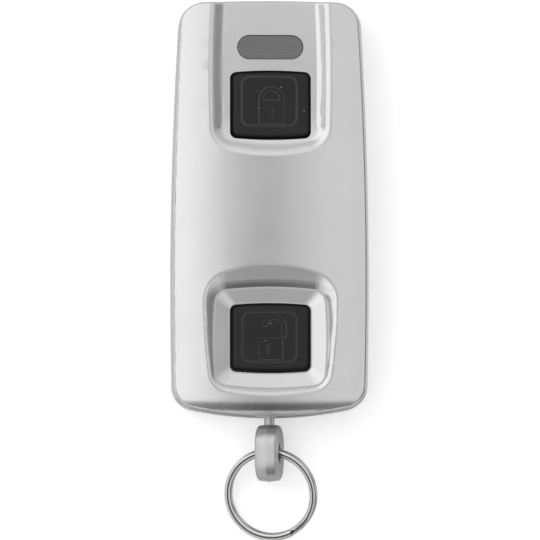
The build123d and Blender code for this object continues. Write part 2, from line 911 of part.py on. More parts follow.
def switch_lid(y):
    """The metal cover plate of a switch."""
    with BuildPart() as plate:
        with BuildSketch(Plane.XY.offset(board_top + switch_height - switch_cover)):
            with Locations((0, y)):
                RectangleRounded(switch_size, switch_size, switch_corner)
                Circle(plunger_diameter / 2 + plunger_gap, mode=Mode.SUBTRACT)
        extrude(amount=switch_cover)
    return plate.part


def switch_plunger(y):
    """The plunger of a switch, which the button rests on."""
    with BuildPart() as plunger:
        with BuildSketch(Plane.XY.offset(board_top + switch_height - plunger_depth)):
            with Locations((0, y)):
                Circle(plunger_diameter / 2)
        extrude(amount=plunger_depth + plunger_rise)
    return plunger.part


def button(y, ring_side_height, top_side_height):
    """A button: cap with a leaning rounded top, flange under the seat, hollow and post."""
    tilt = atan2(top_side_height - ring_side_height, button_length)
    middle = (ring_side_height + top_side_height) / 2 + button_proud
    top_plane = Plane(origin=(0, y, middle), x_dir=(1, 0, 0), z_dir=(0, -sin(tilt), cos(tilt)))
    cap = button_outline(-button_gap)
    flange = button_outline(button_flange)
    pocket_top = min(ring_side_height, top_side_height) + button_proud - button_skin
    with BuildPart() as body:
        with BuildSketch(Plane.XY.offset(flange_bottom)):
            with Locations((0, y)):
                add(cap)
        extrude(amount=face_top + cut_overrun - flange_bottom)
        split(bisect_by=top_plane, keep=Keep.BOTTOM)
        fillet(body.faces().sort_by(Axis.Z)[-1].edges(), button_edge_radius)
        with BuildSketch(Plane.XY.offset(flange_bottom)):
            with Locations((0, y)):
                add(flange)
        extrude(amount=button_flange_height)
        with BuildSketch(Plane.XY.offset(flange_bottom)):
            with Locations((0, y)):
                RectangleRounded(
                    button_width - 2 * button_gap - 2 * button_pocket_edge,
                    button_length - 2 * button_gap - 2 * button_pocket_edge,
                    button_corner,
                )
        extrude(amount=pocket_top - flange_bottom, mode=Mode.SUBTRACT)
        with BuildSketch(Plane.XY.offset(plunger_top)):
            with Locations((0, y)):
                Circle(button_post_diameter / 2)
        extrude(amount=pocket_top - plunger_top)
    return body.part


lock_low = lock_y - button_length / 2
lip_slope = button_length / 2 * sin(radians(dish_tilt))
lip_height_middle = dish_plane(0).origin.Z
moving_parts = {
    "lock_switch_body": switch_body(lock_y),
    "lock_switch_cover": switch_lid(lock_y),
    "lock_switch_plunger": switch_plunger(lock_y),
    "unlock_switch_body": switch_body(unlock_y),
    "unlock_switch_cover": switch_lid(unlock_y),
    "unlock_switch_plunger": switch_plunger(unlock_y),
    "lock_button": button(lock_y, ramp_floor(lock_low), channel_floor(lock_opening_top)),
    "unlock_button": button(unlock_y, lip_height_middle - lip_slope, lip_height_middle + lip_slope),
}

# Indicator window: flat lens with a flange and a light guide down to the lamp
window_tilt = -crown_angle(window_y)
lens_plane = Plane(
    origin=(0, window_y, channel_floor(window_y) - window_recess),
    x_dir=(1, 0, 0),
    z_dir=(0, -sin(window_tilt), cos(window_tilt)),
)
with BuildPart() as indicator_window:
    with BuildSketch(Plane.XY.offset(window_seat - window_flange_height)):
        with Locations((0, window_y)):
            SlotOverall(window_length, window_width)
    extrude(amount=face_top - window_seat)
    split(bisect_by=lens_plane, keep=Keep.BOTTOM)
    fillet(indicator_window.faces().sort_by(Axis.Z)[-1].edges(), window_edge_radius)
    with BuildSketch(Plane.XY.offset(window_seat - window_flange_height)):
        with Locations((0, window_y)):
            SlotOverall(window_length + 2 * window_flange, window_width + 2 * window_flange)
    extrude(amount=window_flange_height)
    with BuildSketch(Plane.XY.offset(board_top + led_height + led_gap)):
        with Locations((0, window_y)):
            Circle(guide_diameter / 2)
    extrude(amount=window_seat - board_top - led_height - led_gap)
indicator_window.part.label = "indicator_window"

# Case screws
with BuildPart() as case_screws:
    with BuildSketch(Plane.XY.offset(head_recess)):
        add(head_circles)
    extrude(amount=head_height)
    with BuildSketch(Plane.XY.offset(head_seat)):
        add(shank_circles)
    extrude(amount=screw_length)
    with BuildSketch(Plane.XY.offset(head_recess)):
        with GridLocations(2 * screw_x, screw_rows[0] - screw_rows[1], 2, 2):
            with Locations((0, (screw_rows[0] + screw_rows[1]) / 2)):
                Rectangle(cross_length, cross_width)
                Rectangle(cross_width, cross_length)
    extrude(amount=cross_depth, mode=Mode.SUBTRACT)
case_screws.part.label = "case_screws"

# Swivel eye, turned a little on its stem
rest = radians(swivel_rest_angle)
eye_y = ring_end - stem_show - eye_length / 2
hole_axis = Vector(cos(rest), 0, sin(rest))
eye_up = Vector(-sin(rest), 0, cos(rest))
eye_centre = Vector(0, eye_y, swivel_height)
eye_side_plane = Plane(origin=eye_centre, x_dir=(0, 1, 0), z_dir=hole_axis)
stem_end = block_end - stem_gap
groove_y = (pocket_start + pocket_end) / 2
stem_plane = Plane(origin=(0, eye_y + eye_hole_diameter, swivel_height), x_dir=(1, 0, 0), z_dir=(0, 1, 0))
groove_start = groove_y - stem_clip_thickness / 2 - groove_gap
groove_plane = Plane(origin=(0, groove_start, swivel_height), x_dir=hole_axis, z_dir=(0, 1, 0))


def eye_outline(inset):
    """The side outline of the eye."""
    with BuildSketch() as outline:
        RectangleRounded(eye_length - 2 * inset, eye_height - 2 * inset, eye_outline_radius - inset)
    return outline.sketch


eye_middle = eye_outline(0)
eye_face = eye_outline(lean(eye_draft, eye_thickness / 2))
mould_line = eye_outline(-mould_line_rise)

with BuildPart() as swivel_eye:
    for side in (-1, 1):
        with BuildSketch(eye_side_plane):
            add(eye_middle)
        with BuildSketch(eye_side_plane.offset(side * eye_thickness / 2)):
            add(eye_face)
        loft()
    eye_faces = swivel_eye.faces().filter_by(GeomType.PLANE).sort_by(SortBy.AREA)[-2:]
    fillet(ShapeList([edge for face in eye_faces for edge in face.edges()]), eye_edge_radius)
    with BuildSketch(stem_plane):
        Circle(stem_diameter / 2)
    extrude(amount=stem_end - eye_y - eye_hole_diameter)
    with BuildSketch(groove_plane):
        Circle(stem_diameter / 2 + stem_gap)
        Circle(stem_groove_diameter / 2, mode=Mode.SUBTRACT)
    extrude(amount=stem_clip_thickness + 2 * groove_gap, mode=Mode.SUBTRACT)
    with BuildSketch(eye_side_plane):
        add(mould_line)
    extrude(amount=mould_line_width / 2, both=True)
    with BuildSketch(eye_side_plane):
        Circle(eye_hole_diameter / 2)
    extrude(amount=eye_thickness, both=True, mode=Mode.SUBTRACT)
    hole_edges = swivel_eye.edges().filter_by(GeomType.CIRCLE).filter_by(
        lambda edge: abs(edge.radius - eye_hole_diameter / 2) < mould_line_rise
    )
    chamfer(hole_edges, eye_hole_edge)
swivel_eye.part.label = "swivel_eye"

with BuildPart() as swivel_clip:
    with BuildSketch(groove_plane.offset(groove_gap)):
        Circle(clip_radius)
        Circle(stem_groove_diameter / 2 + groove_gap, mode=Mode.SUBTRACT)
        with Locations((0, clip_radius)):
            Rectangle(stem_clip_mouth, 2 * clip_radius, mode=Mode.SUBTRACT)
    extrude(amount=stem_clip_thickness)
swivel_clip.part.label = "swivel_clip"

# Split ring: two turns of one wire with a crossover, hanging from the eye
droop = radians(ring_droop)
coil_radius = (ring_diameter - ring_band) / 2
ring_reach = Vector(0, -cos(droop), 0) - eye_up * sin(droop)
ring_normal = eye_up * cos(droop) + Vector(0, -sin(droop), 0)
ring_centre = eye_centre + ring_reach * (coil_radius - ring_offset)
ring_plane = Plane(origin=ring_centre, x_dir=hole_axis, z_dir=ring_normal)
ring_axis = Axis(ring_centre, ring_normal)
level = (coil_height + coil_gap) / 2
crossover_start = crossover_place - crossover_angle / 2
crossover_end = crossover_place + crossover_angle / 2
turn_span = full_turn - crossover_angle - coil_end_gap


def coil_section(angle):
    """The plane through the ring's axis at an angle round it."""
    radial = ring_plane.x_dir * cos(radians(angle)) + ring_plane.y_dir * sin(radians(angle))
    return Plane(origin=ring_centre, x_dir=radial, z_dir=radial.cross(ring_normal))


def coil_outline(lift):
    """The section of the wire at a height above or below the middle of the ring."""
    with BuildSketch() as outline:
        with Locations((coil_radius, lift)):
            Rectangle(ring_band, coil_height)
        chamfer(outline.vertices(), coil_edge)
    return outline.sketch


upper_outline = coil_outline(level)
lower_outline = coil_outline(-level)
crossover_steps = [(0, lower_outline), (1, coil_outline(0)), (2, upper_outline)]

with BuildPart() as split_ring:
    with BuildSketch(coil_section(crossover_end)):
        add(upper_outline)
    revolve(axis=ring_axis, revolution_arc=turn_span)
    with BuildSketch(coil_section(crossover_start - turn_span)):
        add(lower_outline)
    revolve(axis=ring_axis, revolution_arc=turn_span)
    for step, outline in crossover_steps:
        with BuildSketch(coil_section(crossover_start + crossover_angle * step / 2)):
            add(outline)
    loft(ruled=True)
split_ring.part.label = "split_ring"

parts = {
    built.part.label: built.part
    for built in (
        front_cover, rear_cover, battery_lid, lid_gasket, coin_cell, cell_clip, cell_contact, circuit_board,
        indicator_window, case_screws, swivel_eye, swivel_clip, split_ring,
    )
}
for name, solid in {**parts, **board_parts, **moving_parts}.items():
    solid.label = name
    export_step(solid, f"parts/{name}.step")
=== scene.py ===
import bpy
import bmesh
import json
import math
from mathutils import Matrix, Vector


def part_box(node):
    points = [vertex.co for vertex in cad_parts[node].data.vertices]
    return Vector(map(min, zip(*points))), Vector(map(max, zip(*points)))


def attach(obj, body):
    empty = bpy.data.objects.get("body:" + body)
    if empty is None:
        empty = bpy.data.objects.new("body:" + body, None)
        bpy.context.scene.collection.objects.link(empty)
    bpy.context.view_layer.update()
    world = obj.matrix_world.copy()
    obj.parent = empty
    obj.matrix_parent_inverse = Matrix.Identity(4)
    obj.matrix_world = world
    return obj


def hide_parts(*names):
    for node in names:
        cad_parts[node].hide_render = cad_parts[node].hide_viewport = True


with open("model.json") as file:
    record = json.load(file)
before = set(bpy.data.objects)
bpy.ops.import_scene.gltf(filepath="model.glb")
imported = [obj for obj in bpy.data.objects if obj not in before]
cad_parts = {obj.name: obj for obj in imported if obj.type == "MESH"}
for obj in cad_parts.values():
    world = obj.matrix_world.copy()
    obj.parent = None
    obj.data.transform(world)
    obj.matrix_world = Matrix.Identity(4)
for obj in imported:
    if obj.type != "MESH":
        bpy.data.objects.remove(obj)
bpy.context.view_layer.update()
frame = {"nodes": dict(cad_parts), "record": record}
nodes = frame["nodes"]
mm = 0.001
print("frame loaded")


def selectNone():
    if bpy.context.object and bpy.context.object.mode != "OBJECT":
        bpy.ops.object.mode_set(mode="OBJECT")
    bpy.ops.object.select_all(action="DESELECT")


def onlySelect(piece):
    selectNone()
    piece.select_set(True)
    bpy.context.view_layer.objects.active = piece


def grey(value):
    return (value, value, value, 1)


# Gives each input of a shader node its value, or a link from the socket that feeds it
def feed(tree, node, inputs):
    for label, value in inputs.items():
        if isinstance(value, bpy.types.NodeSocket):
            tree.links.new(value, node.inputs[label])
        else:
            node.inputs[label].default_value = value


def addNode(tree, kind, inputs, **settings):
    node = tree.nodes.new("ShaderNode" + kind)
    for label, value in settings.items():
        setattr(node, label, value)
    feed(tree, node, inputs)
    return node


def newMaterial(name):
    material = bpy.data.materials.new(name)
    material.use_nodes = True
    return material, material.node_tree, material.node_tree.nodes["Principled BSDF"]


def objectPlaces(tree):
    return addNode(tree, "TexCoord", {}).outputs["Object"]


# A colour ramp of greys through stops of place and value
def greyRamp(tree, place, stops, interpolation):
    ramp = addNode(tree, "ValToRGB", {"Fac": place})
    ramp.color_ramp.interpolation = interpolation
    elements = ramp.color_ramp.elements
    while len(elements) < len(stops):
        elements.new(0.5)
    for element, (position, value) in zip(elements, stops):
        element.position = position
        element.color = grey(value)
    return ramp.outputs["Color"]


def newGroup(name, inputs, outputs):
    group = bpy.data.node_groups.new(name, "ShaderNodeTree")
    for way, sockets in (("INPUT", inputs), ("OUTPUT", outputs)):
        for label, kind in sockets.items():
            group.interface.new_socket(label, in_out=way, socket_type="NodeSocket" + kind)
    return group, group.nodes.new("NodeGroupInput").outputs, group.nodes.new("NodeGroupOutput")


# The scale of a texture whose features are as wide as a length in millimetres
def scaleFor(group, length):
    return addNode(group, "Math", {0: 1 / mm, 1: length}, operation="DIVIDE").outputs[0]


def addNoise(group, places, width, look):
    return addNode(group, "TexNoise", {"Vector": places, "Scale": scaleFor(group, width), **look}).outputs["Fac"]


# The middle range of a noise, spread over 0 to 1 or between the ends that are given
def spread(group, noise, ends):
    middleRange = {"From Min": 0.3, "From Max": 0.7}
    return addNode(group, "MapRange", {"Value": noise, **middleRange, **ends}).outputs["Result"]


def mixColours(tree, share, first, second, **settings):
    inputs = {"Factor": share, "A": first, "B": second}
    return addNode(tree, "Mix", inputs, data_type="RGBA", **settings).outputs["Result"]


# Fine grain: a mix of two colours and a height, at a size in millimetres
def makeGrainGroup():
    group, given, result = newGroup(
        "fineGrain",
        {"Places": "Vector", "Grain": "Float", "Dark": "Color", "Light": "Color"},
        {"Colour": "Color", "Height": "Float"},
    )
    noise = addNoise(group, given["Places"], given["Grain"], {"Detail": 3.0, "Roughness": 0.65})
    colour = mixColours(group, spread(group, noise, {}), given["Dark"], given["Light"])
    feed(group, result, {"Colour": colour, "Height": noise})
    return group


# Soft blotches of handling, wider than the grain, between a low and a high value
def makeHandlingGroup():
    group, given, result = newGroup(
        "handling",
        {"Places": "Vector", "Patch": "Float", "Low": "Float", "High": "Float"},
        {"Value": "Float"},
    )
    noise = addNoise(group, given["Places"], given["Patch"], {"Detail": 4.0, "Roughness": 0.55})
    feed(group, result, {"Value": spread(group, noise, {"To Min": given["Low"], "To Max": given["High"]})})
    return group


# Sparse bright specks, such as dust or flakes: their size is a share of their pitch
def makeSpeckGroup():
    group, given, result = newGroup(
        "specks",
        {"Places": "Vector", "Pitch": "Float", "Size": "Float", "Colour": "Color", "Speck": "Color"},
        {"Colour": "Color"},
    )
    cells = addNode(group, "TexVoronoi", {"Vector": given["Places"], "Scale": scaleFor(group, given["Pitch"])})
    inside = addNode(group, "Math", {0: cells.outputs["Distance"], 1: given["Size"]}, operation="LESS_THAN")
    feed(group, result, {"Colour": mixColours(group, inside.outputs[0], given["Colour"], given["Speck"])})
    return group


grainGroup = makeGrainGroup()
handlingGroup = makeHandlingGroup()
speckGroup = makeSpeckGroup()


def finish(name, look):
    material, tree, shader = newMaterial(name)
    places = objectPlaces(tree)
    grain = addNode(
        tree, "Group",
        {"Places": places, "Grain": look["grain"], "Dark": look["dark"], "Light": look["light"]},
        node_tree=grainGroup,
    ).outputs
    colour = grain["Colour"]
    if "speckPitch" in look:
        colour = addNode(
            tree, "Group",
            {
                "Places": places, "Colour": colour, "Pitch": look["speckPitch"], "Size": look["speckSize"],
                "Speck": look["speck"],
            },
            node_tree=speckGroup,
        ).outputs["Colour"]
    roughness = addNode(
        tree, "Group",
        {"Places": places, "Patch": look["patch"], "Low": look["smooth"], "High": look["rough"]},
        node_tree=handlingGroup,
    ).outputs["Value"]
    bump = addNode(
        tree, "Bump", {"Strength": look["bump"], "Distance": look["bumpDepth"] * mm, "Height": grain["Height"]}
    )
    feed(tree, shader, {
        "Base Color": colour, "Roughness": roughness, "Metallic": look["metal"], "Normal": bump.outputs["Normal"],
        "Coat Weight": look.get("coat", 0), "Coat Roughness": look.get("coatRough", 0.2),
        "Specular IOR Level": look.get("specular", 0.5),
    })
    return material


# Each finish: lengths in millimetres, colours from dark to light, and roughness from smooth to rough
silverLook = {
    "grain": 0.16, "dark": grey(0.66), "light": grey(0.74), "patch": 14, "smooth": 0.22, "rough": 0.26,
    "metal": 0.95, "bump": 0.12, "bumpDepth": 0.01, "speckPitch": 0.42, "speckSize": 0.09, "speck": grey(0.9),
}
rearLook = {**silverLook, "dark": grey(0.6), "light": grey(0.68)}
rubberLook = {
    "grain": 0.12, "dark": grey(0.012), "light": grey(0.018), "patch": 5, "smooth": 0.5, "rough": 0.62,
    "metal": 0.0, "specular": 0.3, "bump": 0.3, "bumpDepth": 0.02,
    "speckPitch": 1.7, "speckSize": 0.05, "speck": grey(0.45),
}
# Lighter flanks for the rubber marks: the lighter colour is a painted highlight along their edges
rubberFlankHighlightLook = {**rubberLook, "dark": grey(0.04), "light": grey(0.075), "smooth": 0.36, "rough": 0.46}
windowLook = {
    "grain": 0.5, "dark": grey(0.135), "light": grey(0.155), "patch": 6, "smooth": 0.28, "rough": 0.36,
    "metal": 0.0, "bump": 0.05, "bumpDepth": 0.01, "coat": 0.5, "coatRough": 0.12,
}
# The window's flank is lighter too: a painted highlight along the panel's edge
windowFlankHighlightLook = {**windowLook, "dark": grey(0.19), "light": grey(0.24)}
zincLook = {
    "grain": 0.3, "dark": grey(0.54), "light": grey(0.62), "patch": 3, "smooth": 0.32, "rough": 0.42,
    "metal": 0.95, "bump": 0.12, "bumpDepth": 0.01,
}
chromeLook = {
    "grain": 0.9, "dark": grey(0.74), "light": grey(0.8), "patch": 3, "smooth": 0.08, "rough": 0.16,
    "metal": 1.0, "bump": 0.03, "bumpDepth": 0.01,
}
steelLook = {**chromeLook, "dark": grey(0.5), "light": grey(0.62), "smooth": 0.22, "rough": 0.35}
screwLook = {**steelLook, "dark": (0.45, 0.45, 0.42, 1), "light": (0.58, 0.57, 0.53, 1)}
lidLook = {
    "grain": 0.25, "dark": grey(0.3), "light": grey(0.35), "patch": 8, "smooth": 0.4, "rough": 0.52,
    "metal": 0.0, "bump": 0.25, "bumpDepth": 0.02,
}
gasketLook = {**rubberLook, "rough": 0.6}
cellLook = {**steelLook, "dark": grey(0.6), "light": grey(0.7), "smooth": 0.18, "rough": 0.3}
boardLook = {
    "grain": 0.4, "dark": (0.02, 0.13, 0.05, 1), "light": (0.03, 0.19, 0.07, 1), "patch": 6,
    "smooth": 0.25, "rough": 0.35, "metal": 0.0, "bump": 0.1, "bumpDepth": 0.02, "coat": 0.4,
}
packageLook = {
    "grain": 0.08, "dark": grey(0.018), "light": grey(0.03), "patch": 2, "smooth": 0.5, "rough": 0.6,
    "metal": 0.0, "bump": 0.2, "bumpDepth": 0.01,
}
canLook = {**steelLook, "dark": (0.6, 0.57, 0.5, 1), "light": (0.7, 0.67, 0.6, 1)}
ceramicLook = {**packageLook, "dark": (0.45, 0.33, 0.22, 1), "light": (0.55, 0.42, 0.28, 1)}
copperLook = {**steelLook, "dark": (0.6, 0.42, 0.28, 1), "light": (0.75, 0.55, 0.38, 1)}
plungerLook = {**packageLook, "dark": (0.3, 0.25, 0.17, 1), "light": (0.38, 0.32, 0.22, 1)}
lampLook = {
    "grain": 0.3, "dark": grey(0.7), "light": (0.8, 0.8, 0.72, 1), "patch": 2, "smooth": 0.2, "rough": 0.3,
    "metal": 0.0, "bump": 0.05, "bumpDepth": 0.01, "coat": 0.4,
}
# Drawn steel for the key ring, with a painted reflection: a dark middle line between bright edges, painted into
# its colour. The middle, normal and radius are those of the ring, and the stops shade it by the distance in
# millimetres from that radius
ringReflectionLook = {
    **chromeLook, "middle": (0.364, -54.658, 3.735), "normal": (-0.203, -0.2164, 0.955), "radius": 8.3,
    "stops": ((0.0, 0.08), (0.1, 0.1), (0.25, 0.72), (0.38, 0.95), (0.6, 0.8), (1.0, 0.65)),
}


def ringReflectionFinish(name, look):
    material = finish(name, look)
    tree = material.node_tree
    shader = tree.nodes["Principled BSDF"]

    def step(kind, operation, inputs, output=0):
        return addNode(tree, kind, inputs, operation=operation).outputs[output]

    offset = step("VectorMath", "SUBTRACT", {0: objectPlaces(tree), 1: Vector(look["middle"]) * mm})
    height = step("VectorMath", "DOT_PRODUCT", {0: offset, 1: look["normal"]}, "Value")
    lift = step("VectorMath", "SCALE", {0: look["normal"], "Scale": height})
    fromMiddle = step("VectorMath", "DISTANCE", {0: offset, 1: lift}, "Value")
    fromRadius = step("Math", "SUBTRACT", {0: fromMiddle, 1: look["radius"] * mm})
    distance = step("Math", "MULTIPLY", {0: step("Math", "ABSOLUTE", {0: fromRadius}), 1: 1 / mm})
    plain = shader.inputs["Base Color"].links[0].from_socket
    # The ramp paints a reflection into the colour: dark along the ring's middle line, bright towards its edges
    paintedReflection = mixColours(tree, 1, plain, greyRamp(tree, distance, look["stops"], "LINEAR"), blend_type="MULTIPLY")
    feed(tree, shader, {"Base Color": paintedReflection})
    return material


finishes = {
    "silver_cover": finish("silverLacquer", silverLook),
    "grey_cover": finish("rearLacquer", rearLook),
    "black_soft_touch": finish("softTouchRubber", rubberLook),
    "smoke_window": finish("smokeWindow", windowLook),
    "satin_zinc": finish("satinZinc", zincLook),
    "chromed_steel": ringReflectionFinish("chromedSteelPaintedReflection", ringReflectionLook),
    "spring_steel": finish("springSteel", steelLook),
    "zinc_screw": finish("zincScrew", screwLook),
    "grey_lid": finish("greyLid", lidLook),
    "black_gasket": finish("blackGasket", gasketLook),
    "cell_steel": finish("cellSteel", cellLook),
    "green_board": finish("greenBoard", boardLook),
    "black_package": finish("blackPackage", packageLook),
    "crystal_can": finish("crystalCan", canLook),
    "beige_ceramic": finish("beigeCeramic", ceramicLook),
    "copper_wire": finish("copperWire", copperLook),
    "switch_black": finish("switchBlack", packageLook),
    "switch_steel": finish("switchSteel", steelLook),
    "switch_plunger": finish("switchPlunger", plungerLook),
    "white_lamp": finish("whiteLamp", lampLook),
}
# Lighter finishes for the flanks of the marks, a painted highlight, by the finish that they are cut in
flankHighlightFinishes = {
    "softTouchRubber": finish("rubberFlankHighlight", rubberFlankHighlightLook),
    "smokeWindow": finish("windowFlankHighlight", windowFlankHighlightLook),
}
slotOf = {entry["node"]: entry["material_slot"] for entry in frame["record"]["subparts"]}
for name, node in nodes.items():
    node.data.materials.clear()
    node.data.materials.append(finishes[slotOf[name]])
print("finishes made")

# How the copies are worked. Lengths are in millimetres, and level and flank are the height of a face's normal
working = {
    "merge": 0.0005, "onLine": 0.001, "onLevel": 0.01, "markRoot": 0.3, "cornerSteps": 6, "discSides": 32,
    "level": 0.9, "flank": (0.1, 0.98), "smoothAngle": 28,
}


def applyTransforms(piece):
    onlySelect(piece)
    bpy.ops.object.transform_apply(location=True, rotation=True, scale=True)


def applyModifier(piece, name, kind, **settings):
    onlySelect(piece)
    modifier = piece.modifiers.new(name, kind)
    for label, value in settings.items():
        setattr(modifier, label, value)
    bpy.ops.object.modifier_apply(modifier=name)


def startEdit(piece):
    onlySelect(piece)
    bpy.ops.object.mode_set(mode="EDIT")
    bpy.ops.mesh.select_all(action="SELECT")


def endEdit():
    bpy.ops.object.mode_set(mode="OBJECT")


# In edit mode, selects just the points, edges or faces that pass the test
def selectWhere(piece, kind, test):
    bpy.ops.mesh.select_all(action="DESELECT")
    bpy.ops.mesh.select_mode(type=kind)
    mesh = bmesh.from_edit_mesh(piece.data)
    for item in {"VERT": mesh.verts, "EDGE": mesh.edges, "FACE": mesh.faces}[kind]:
        item.select_set(test(item))
    bmesh.update_edit_mesh(piece.data)


def normalsOut():
    bpy.ops.mesh.select_all(action="SELECT")
    bpy.ops.mesh.normals_make_consistent(inside=False)


def smoothByAngle(piece, degrees):
    onlySelect(piece)
    bpy.ops.object.shade_smooth_by_angle(angle=math.radians(degrees))


# A merged copy of a CAD node, which the finished scene shows in its place
def workingCopy(node, name):
    piece = nodes[node].copy()
    piece.data = nodes[node].data.copy()
    piece.name = name
    piece.data.name = name
    bpy.context.scene.collection.objects.link(piece)
    startEdit(piece)
    bpy.ops.mesh.remove_doubles(threshold=working["merge"] * mm)
    endEdit()
    bpy.ops.mesh.customdata_custom_splitnormals_clear()
    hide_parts(node)
    return piece


# The turn and place that carry a drawing at z = 0 onto the flat top of a piece, its largest upward plane
def topOf(piece):
    planes = {}
    for face in piece.data.polygons:
        if face.normal.z > working["level"]:
            plane = (round(face.normal.y, 3), round(face.center.dot(face.normal) / mm, 2))
            planes.setdefault(plane, []).append(face)
    flat = max(planes.values(), key=lambda faces: sum(face.area for face in faces))
    normal = flat[0].normal.copy()
    height = flat[0].center.dot(normal)
    corners = [piece.data.vertices[i].co for face in flat for i in face.vertices]
    middle = Vector([(min(values) + max(values)) / 2 for values in zip(*corners)])
    middle.z = (height - middle.x * normal.x - middle.y * normal.y) / normal.z
    away = normal.cross(Vector((1, 0, 0))).normalized()
    side = away.cross(normal)
    return Matrix.Translation(middle) @ Matrix((side, away, normal)).transposed().to_4x4()


def flatPlate(centre, size, corner):
    selectNone()
    bpy.ops.mesh.primitive_plane_add(size=1, location=(centre[0] * mm, centre[1] * mm, 0))
    plate = bpy.context.object
    plate.scale = (size[0] * mm, size[1] * mm, 1)
    applyTransforms(plate)
    startEdit(plate)
    bpy.ops.mesh.bevel(affect="VERTICES", offset=corner * mm, segments=working["cornerSteps"])
    endEdit()
    return plate


def flatDisc(centre, radius):
    selectNone()
    bpy.ops.mesh.primitive_circle_add(
        vertices=working["discSides"], radius=radius * mm, fill_type="NGON",
        location=(centre[0] * mm, centre[1] * mm, 0),
    )
    disc = bpy.context.object
    applyTransforms(disc)
    return disc


# Keeps a band along the edge of a flat drawing
def bandOf(drawing, width):
    startEdit(drawing)
    bpy.ops.mesh.inset(thickness=width * mm, depth=0)
    bpy.ops.mesh.delete(type="FACE")
    endEdit()
    return drawing


# The bow of a padlock: the upper half of a band, with a leg down from each end that has a length
def flatBow(centre, radius, width, legs):
    bow = bandOf(flatDisc(centre, radius), width)
    middleX, middleY = centre[0] * mm, centre[1] * mm
    startEdit(bow)
    selectWhere(bow, "FACE", lambda face: face.calc_center_median().y < middleY)
    bpy.ops.mesh.delete(type="FACE")
    for side, leg in zip((-1, 1), legs):
        if leg == 0:
            continue

        def atFoot(vertex):
            return abs(vertex.co.y - middleY) < working["onLine"] * mm and (vertex.co.x - middleX) * side > 0

        selectWhere(bow, "EDGE", lambda edge: all(atFoot(vertex) for vertex in edge.verts))
        bpy.ops.mesh.extrude_edges_move(TRANSFORM_OT_translate={"value": (0, -leg * mm, 0)})
    endEdit()
    return bow


# A closed form from a flat drawing: a root past the surface, then a flank that leans in to the mark's own level
def markForm(drawing, level, change, flank, finishPair):
    root = math.copysign(working["markRoot"], change)
    drawing.location.z = (level - root) * mm
    applyTransforms(drawing)
    startEdit(drawing)
    bpy.ops.mesh.extrude_region_move(TRANSFORM_OT_translate={"value": (0, 0, root * mm)})
    normalsOut()

    def atLevel(face):
        offLevel = abs(face.calc_center_median().z - level * mm)
        return abs(face.normal.z) > working["level"] and offLevel < working["onLevel"] * mm

    selectWhere(drawing, "FACE", atLevel)
    bpy.ops.mesh.inset(thickness=flank * mm, depth=abs(change) * mm)
    normalsOut()
    endEdit()
    for material in finishPair:
        drawing.data.materials.append(material)
    # Flank faces take the second finish, whose lighter colour is a painted highlight
    lowest, highest = working["flank"]
    for face in drawing.data.polygons:
        face.material_index = int(lowest < abs(face.normal.z) < highest)
    return drawing


# Raises a mark out of a piece, or sinks it where the change is below zero
def applyMark(piece, top, drawing, level, change, flank):
    plain = piece.data.materials[0]
    form = markForm(drawing, level, change, flank, (plain, flankHighlightFinishes[plain.name]))
    form.matrix_world = top
    applyTransforms(form)
    applyModifier(
        piece, "mark", "BOOLEAN", operation="UNION" if change > 0 else "DIFFERENCE", solver="EXACT",
        material_mode="TRANSFER", object=form,
    )
    bpy.data.objects.remove(form)


# Smooth shading that keeps the large flat faces of a marked piece flat
def smoothMarked(piece):
    smoothByAngle(piece, working["smoothAngle"])
    applyModifier(piece, "evenShade", "WEIGHTED_NORMAL", weight=100, keep_sharp=True)


# Lock button: a raised border and a closed padlock raised with it, with a sunk keyhole
lockMarks = {
    "rise": 0.12, "flank": 0.18, "border": (11.0, 9.9), "borderCorner": 1.7, "borderWidth": 0.5,
    "borderCentre": (-0.3, 0.55), "body": (5.1, 4.7), "bodyCentre": (0.1, -1.45), "bodyCorner": 0.45,
    "bowCentre": (0.1, 1.0), "bowRadius": 2.5, "bowWidth": 1.0, "bowLegs": (0.5, 0.5),
    "keyhole": (0.56, 1.9), "keyholeCentre": (0.16, -1.65), "keyholeFlank": 0.14,
}
# Unlock button: the same border as a groove, and an open padlock sunk into the rubber
unlockMarks = {
    "rise": -0.12, "flank": 0.16, "border": (10.8, 9.95), "borderCorner": 1.7, "borderWidth": 0.46,
    "borderCentre": (-0.4, 0.2), "body": (4.75, 4.3), "bodyCentre": (-0.05, -2.15), "bodyCorner": 0.4,
    "bowCentre": (0.7, 2.1), "bowRadius": 2.3, "bowWidth": 1.0, "bowLegs": (0, 2.1),
    "keyhole": (0.56, 2.0), "keyholeCentre": (-0.45, -2.2), "keyholeFlank": 0.14,
}
# Both caps: the part above the flange is drawn in a little and moved off-centre, so a dark gap shows on the left
cap = {
    "flangeTop": 10.7, "halfWidth": 7.6, "halfLength": 6.6, "shrink": (0.976, 0.97, 1), "shift": (0.12, 0.08, 0),
}


def narrowCap(button, node):
    low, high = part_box(node)
    middle = (Vector(low) + Vector(high)) / 2

    def inCap(vertex):
        aside = vertex.co - middle
        return (
            vertex.co.z > cap["flangeTop"] * mm
            and abs(aside.x) < cap["halfWidth"] * mm
            and abs(aside.y) < cap["halfLength"] * mm
        )

    startEdit(button)
    selectWhere(button, "VERT", inCap)
    bpy.ops.transform.resize(value=cap["shrink"], center_override=middle)
    bpy.ops.transform.translate(value=Vector(cap["shift"]) * mm)
    endEdit()


